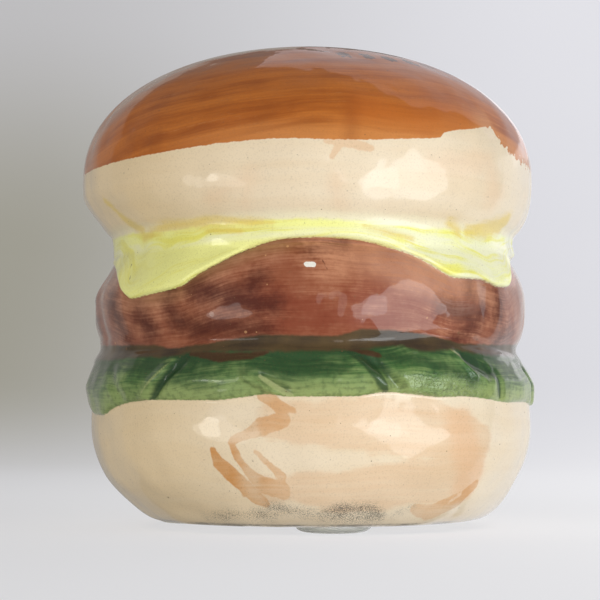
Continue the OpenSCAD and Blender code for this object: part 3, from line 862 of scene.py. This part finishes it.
def glaze_lettuce(p, colour, buns, blot, cloud, grain, tooth):
    """Streaked greens with painted shade in the folds and darker towards the top, brown slopped over the top
    edge, and dark glaze with painted shade in the groove.
    """
    relief, above_leaf = p.attribute("relief"), p.attribute("above_leaf")
    streak = p.bristles(14, 0.7, drift=8, up=p.z) * 0.7 + p.mottle(3, detail=3, seed=5) * 0.3
    leaf = p.mix((streak * 0.8 + blot * 0.5 + above_leaf * 0.02).step(0.56, 0.9), LEAF_LIGHT, LEAF_MID)
    lime = above_leaf.step(6.5, 0.8) * (streak * 0.8 + cloud * 0.5 + blot * 0.2).step(0.56, 0.8)
    leaf = p.mix(lime * (p.azimuth.step(-50, 10) * 0.35 + 0.35), leaf, LEAF_LIME)
    # painted shade: darker where the relief sinks into the folds, and darker towards the top of the lettuce
    deep = cloud * 0.5 + blot * 0.4 + streak * 0.5 + relief * -0.2 + above_leaf * 0.045
    deep = deep.step(0.88, 1.28) * 0.8
    shade = (p.attribute("leaf_shade") + (blot - 0.5) * 4 + (streak - 0.5) * 3).step(-1.6, 1.8) * 0.7
    leaf = p.mix(deep.at_least(shade), leaf, LEAF_DARK)
    sponged = p.mottle(1.3, detail=3, seed=14) * 0.7 + streak * 0.5
    leaf = p.mix(sponged.step(0.54, 0.78) * 0.4, leaf, LEAF_DARK)
    line = (p.attribute("leaf_line") + tooth * 0.5).step(-0.5, 0.35)
    leaf = p.mix(line * 0.8, leaf, LEAF_DARK)
    vein = (p.attribute("leaf_vein") + tooth * 0.35).step(-0.22, 0.22)
    leaf = p.mix(vein * 0.55, leaf, LEAF_PALE)
    slop = (p.attribute("slop") + tooth * 0.9).step(-0.35, 0.35)
    leaf = p.mix(slop * 0.7, leaf, PATTY_DARK)
    # painted shade with pooled dark glaze in the groove under the patty
    pooled = p.mix((blot + streak * 0.4).step(0.5, 0.9), GROOVE_DARK, GROOVE_OLIVE)
    groove_on = (p.attribute("above_patty_foot") + tooth * 0.6).step(0.45, -0.35)
    colour = p.mix(groove_on * 0.92, colour, pooled)
    leaf_on = (p.attribute("above_leaf_top") + tooth * 0.9).step(0.7, -0.5)
    colour = p.mix(leaf_on, colour, leaf)
    return p.mix((above_leaf + (grain - 0.5) * 0.5).step(0.12, -0.12), colour, buns)


def firing_marks(p, colour, blot, grain):
    """Iron specks, nicks, grey smudges round the foot, a darker blotchy line along the bottom edge, and wear
    round the slot.
    """
    iron = p.specks(1.5, 0.13, 0.5).at_least(p.specks(6, 0.07, 0.4))
    colour = p.mix(iron * 0.6, colour, IRON)
    colour = p.mix(p.mottle(0.42, seed=11).step(0.48, 0.8) * 0.16, colour, IRON)
    nick = (p.attribute("nicks") + (grain - 0.5) * 0.3).step(-0.12, 0.1)
    colour = p.mix(nick * 0.7, colour, PATTY_DARK)
    dirty = (p.attribute("dirt") + (blot - 0.5) * 2).step(-2.2, 1.4) * p.z.step(12, 10)
    dust = p.mottle(0.26, seed=7) + (blot - 0.5) * 0.3 + dirty * 0.12
    colour = p.mix(dust.step(0.5, 0.8) * dirty * 0.85, colour, SMUDGE)
    # darker and blotchy along the lowest millimetre of the edge
    line = p.z.step(base_z + 1.1, base_z + 0.5) * (blot + grain * 0.4).step(0.5, 0.8)
    colour = p.mix(line * 0.7, colour, SMUDGE)
    worn = p.attribute("slot_gap").step(1.3, 0.4) * p.z.step(110, 112)
    return p.mix(worn * 0.7, colour, CREAM_WARM)


def bare_clay():
    """Unglazed white slip, chalky, with grey rubs."""
    p = Paints("bare_clay")
    rub = (p.mottle(7, detail=3) + p.mottle(0.8, seed=5) * 0.4).step(0.62, 0.95)
    colour = p.mix(rub * 0.45, srgb(226, 216, 196), srgb(150, 140, 126))
    return p.finish(colour, normal=p.bump(p.mottle(0.6, detail=3), 0.0002), Roughness=0.85)


# ---- stopper and pads


def clear_pad():
    p = Paints("clear_pad")
    colour = p.mix(p.mottle(3), srgb(252, 252, 248), srgb(244, 244, 234))
    return p.finish(colour, Roughness=0.2, Transmission_Weight=0.7, IOR=1.42)


def soft_vinyl():
    p = Paints("soft_vinyl")
    colour = p.mix(p.mottle(5, detail=3).step(0.3, 0.7), srgb(226, 228, 222), srgb(204, 206, 198))
    return p.finish(colour, normal=p.bump(p.mottle(0.7), 0.0001), Roughness=0.38,
                    Transmission_Weight=0.25, IOR=1.5)


def build_pad(node, material):
    low, high = box_mm(node)
    centre = (low + high) / 2
    r, h = (high[0] - low[0]) / 2, high[2] - low[2]
    foot_r = 0.6 * r
    dome = [(foot_r + (r - foot_r) * math.sin(t), low[2] + h * (1 - math.cos(t)) * 0.92)
            for t in np.linspace(0, math.pi / 2, 14)]
    outline = [(CAP_R, low[2]), (foot_r * 0.6, low[2])] + dome + [(r, high[2]), (CAP_R, high[2])]
    piece = lathe(node.replace("foot_", "domed_"), outline, 96, centre[:2])
    piece.data.materials.append(material)
    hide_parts(node)
    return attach(piece, "casting")


# The stopper's radii inside its flange, and the heights of its two ends
rib_r = flange_r - 4.08
skirt_r = rib_r - 0.42
bore_r = skirt_r - 1.6
cup_z, cup_top_z = stopper_low[2], stopper_high[2]


def build_cup():
    """The stopper's cup: a flange, and a skirt with two ribs that grip the hole."""
    seat_z = cup_z + 2.5
    outline = [(CAP_R, cup_top_z - 1.6), (bore_r - 1, cup_top_z - 1.6), (bore_r, cup_top_z - 2.4),
               (bore_r, cup_z + 0.7), (bore_r + 0.5, cup_z + 0.1), (bore_r + 1.2, cup_z)]
    outline += [(flange_r - 3 + 3 * math.sin(t), cup_z + 1.3 * (1 - math.cos(t)))
                for t in np.linspace(0, math.pi / 2, 8)]
    outline += [(flange_r, seat_z - 0.25), (flange_r - 0.3, seat_z), (rib_r, seat_z)]
    for foot in (seat_z + 0.3, cup_top_z - 3.4):
        outline += [(skirt_r + (rib_r - skirt_r) * math.sin(t), foot + 1.6 * t / math.pi)
                    for t in np.linspace(0, math.pi, 7)]
    outline += [(skirt_r, cup_top_z - 1.2), (skirt_r - 0.3, cup_top_z - 0.3), (skirt_r - 1, cup_top_z),
                (CAP_R, cup_top_z)]
    return lathe("stopper_cup", outline)


def build_grip():
    """The bar across the cup: a profile with a round lower edge, waisted at the middle."""
    half_l, half_w = bore_r + 0.4, 1.5
    z0, z1 = cup_z + 0.6, cup_top_z - 0.8
    turns = [math.pi * (k / 11 - 0.5) for k in range(12)]
    profile = [(half_w * math.sin(t), z0 + half_w * (1 - math.cos(t))) for t in turns]
    profile += [(half_w, z1), (-half_w, z1)]
    stations = np.linspace(-half_l, half_l, 25)
    verts = [(s * MM, y * (1 - 0.25 * math.cos(math.pi * s / half_l / 2)) * MM, z * MM)
             for s in stations for y, z in profile]
    n = len(profile)
    faces = [(i * n + j, i * n + (j + 1) % n, (i + 1) * n + (j + 1) % n, (i + 1) * n + j)
             for i in range(len(stations) - 1) for j in range(n)]
    faces += [tuple(reversed(range(n))), tuple(range(len(verts) - n, len(verts)))]
    return add_piece("stopper_grip", verts, faces)


def build_stopper(material):
    cup, grip = build_cup(), build_grip()
    for piece in (cup, grip):
        piece.data.materials.append(material)
        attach(piece, "plug")
    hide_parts("stopper")


# ---- stage, light and camera


def pale_paper():
    """Glowing paper with painted light that falls off to the left, and a painted shadow low on the wall at
    the left.
    """
    p = Paints("pale_paper")
    paper = p.mix(p.mottle(120, detail=3), srgb(140, 140, 143), srgb(136, 136, 140))
    # painted light: the floor and wall glow fade from right to left
    floor_painted_light = p.mix(p.x.step(-220, 220), srgb(200, 200, 201), srgb(243, 243, 246))
    wall_painted_light = p.mix(p.x.step(-330, 330), srgb(176, 175, 176), srgb(222, 222, 228))
    back = p.y + p.z * 3
    # painted shadow: a dim patch low on the wall to the left of the bank
    painted_shadow = p.x.step(60, -260) * back.step(150, 1000) * p.z.step(470, 170)
    wall_painted_light = p.mix(painted_shadow * 0.6, wall_painted_light, srgb(101, 94, 0))
    glow = p.mix(back.step(100, 1100), floor_painted_light, wall_painted_light)
    plug(p.tree, p.shader.inputs["Emission Color"], glow)
    return p.finish(paper, Roughness=0.9, Specular_IOR_Level=0, Emission_Strength=0.842)


def build_stage():
    """A pale round sweep: a floor that curves up into a wall all round."""
    flat_r, curve, columns = 550, 1100, 96
    outline = [(r, 0) for r in (5, 50, 100, 200, 400)]
    outline += [(flat_r + curve * math.cos(t), curve * (1 - math.sin(t)))
                for t in np.linspace(-0.35, math.pi / 2, 40)[::-1]]
    verts, faces = turned(outline, columns)
    sweep = add_piece("sweep", verts, faces + [tuple(range(columns))])
    sweep.data.materials.append(pale_paper())
    sweep.visible_shadow = sweep.visible_diffuse = sweep.visible_glossy = False


def panel(name, azimuth, elevation, distance, size, radiance, colour, shape="RECTANGLE", part="gloss",
          turn=0):
    """A soft panel facing the bank: azimuth and elevation in degrees, sizes in metres.

    Its part is to light surfaces or to show in the gloss.
    """
    light = bpy.data.lights.new(name, "AREA")
    light.shape = shape
    light.size, light.size_y = size
    light.energy = radiance * math.pi * size[0] * size[1]
    light.color = colour
    lamp = bpy.data.objects.new(name, light)
    a, e = math.radians(azimuth), math.radians(elevation)
    out = Vector((math.sin(a) * math.cos(e), -math.cos(a) * math.cos(e), math.sin(e)))
    middle = Vector((0, 0, (base_z + apex_z) / 2 * MM))
    lamp.location = middle + out * distance
    facing = (-out).to_track_quat("-Z", "Y")
    lamp.rotation_euler = (facing @ Quaternion((0, 0, 1), math.radians(turn))).to_euler()
    lamp.visible_camera = False
    lamp.visible_glossy = part == "gloss"
    lamp.visible_diffuse = part == "light"
    bpy.context.scene.collection.objects.link(lamp)


def build_lights():
    """Broad panels light the surfaces; stacks of ellipses fade out like soft windows in the gloss."""
    panel("fill", -30, 16, 4, (6, 4), 1.31, (1, 0.985, 0.95), part="light")
    panel("fill_low", -16, -38, 4, (5, 3.2), 1.1, (1, 0.98, 0.94), part="light")
    panel("fill_back", 170, 8, 4, (6, 4), 2.1, (1, 0.99, 0.96), part="light")
    panel("key", 60, -4, 1.6, (1.3, 1.5), 3.8, (0.92, 0.96, 1), part="light")
    for share in (1, 0.85, 0.7, 0.55, 0.4, 0.25):
        size = (0.2 * share, 0.3 * share)
        panel("window_right", 38, -8, 0.85, size, 1.4, (0.9, 0.96, 1), "ELLIPSE")
        size = (0.13 * share, 0.13 * share)
        panel("window_left", -51, -7, 0.9, size, 2.2, (1, 0.98, 0.88), "ELLIPSE")
    panel("window_middle", 14, -4, 0.9, (0.09, 0.3), 0.9, (1, 0.92, 0.88), "ELLIPSE")
    panel("veil_right", 49, -9, 0.87, (0.58, 0.56), 2.2, (0.88, 0.96, 1), turn=45)
    panel("veil_left", -43, -9, 0.92, (0.58, 0.24), 1.1, (1, 0.98, 0.95), "ELLIPSE")
    panel("back_right", 146, -12, 0.9, (1.3, 1), 0.62, (0.98, 0.98, 1))
    panel("back_left", -146, 2, 0.9, (1.2, 1.2), 0.19, (1, 0.94, 0.86))
    panel("back_top", 147, 42, 0.9, (0.94, 1.04), 0.45, (0.9, 0.82, 0.88))
    world = bpy.context.scene.world or bpy.data.worlds.new("soft_room")
    bpy.context.scene.world = world
    world.use_nodes = True
    room = world.node_tree.nodes["Background"]
    room.inputs["Color"].default_value = (1, 0.97, 0.93, 1)
    room.inputs["Strength"].default_value = 0.17


def build_camera():
    """Just below the lettuce's height, half a metre in front of the axis, tilted up a little."""
    camera = bpy.data.cameras.new("camera")
    camera.lens = 111.3
    camera.sensor_width = 36
    camera.clip_start = 0.01
    eye = bpy.data.objects.new("camera", camera)
    eye.location = (-0.0020, -0.501, 0.0294)
    eye.rotation_euler = (math.radians(90 + 3.55), 0, 0)
    bpy.context.scene.collection.objects.link(eye)
    bpy.context.scene.camera = eye
    bpy.context.scene.view_settings.view_transform = "Standard"


build_camera()
build_stage()
build_lights()

casting = build_casting()
casting.data.materials.append(painted_glaze())
casting.data.materials.append(bare_clay())
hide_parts("ceramic_body")
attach(casting, "casting")

pad_material = clear_pad()
for pad in ("foot_pad_front", "foot_pad_right", "foot_pad_left"):
    build_pad(pad, pad_material)
build_stopper(soft_vinyl())
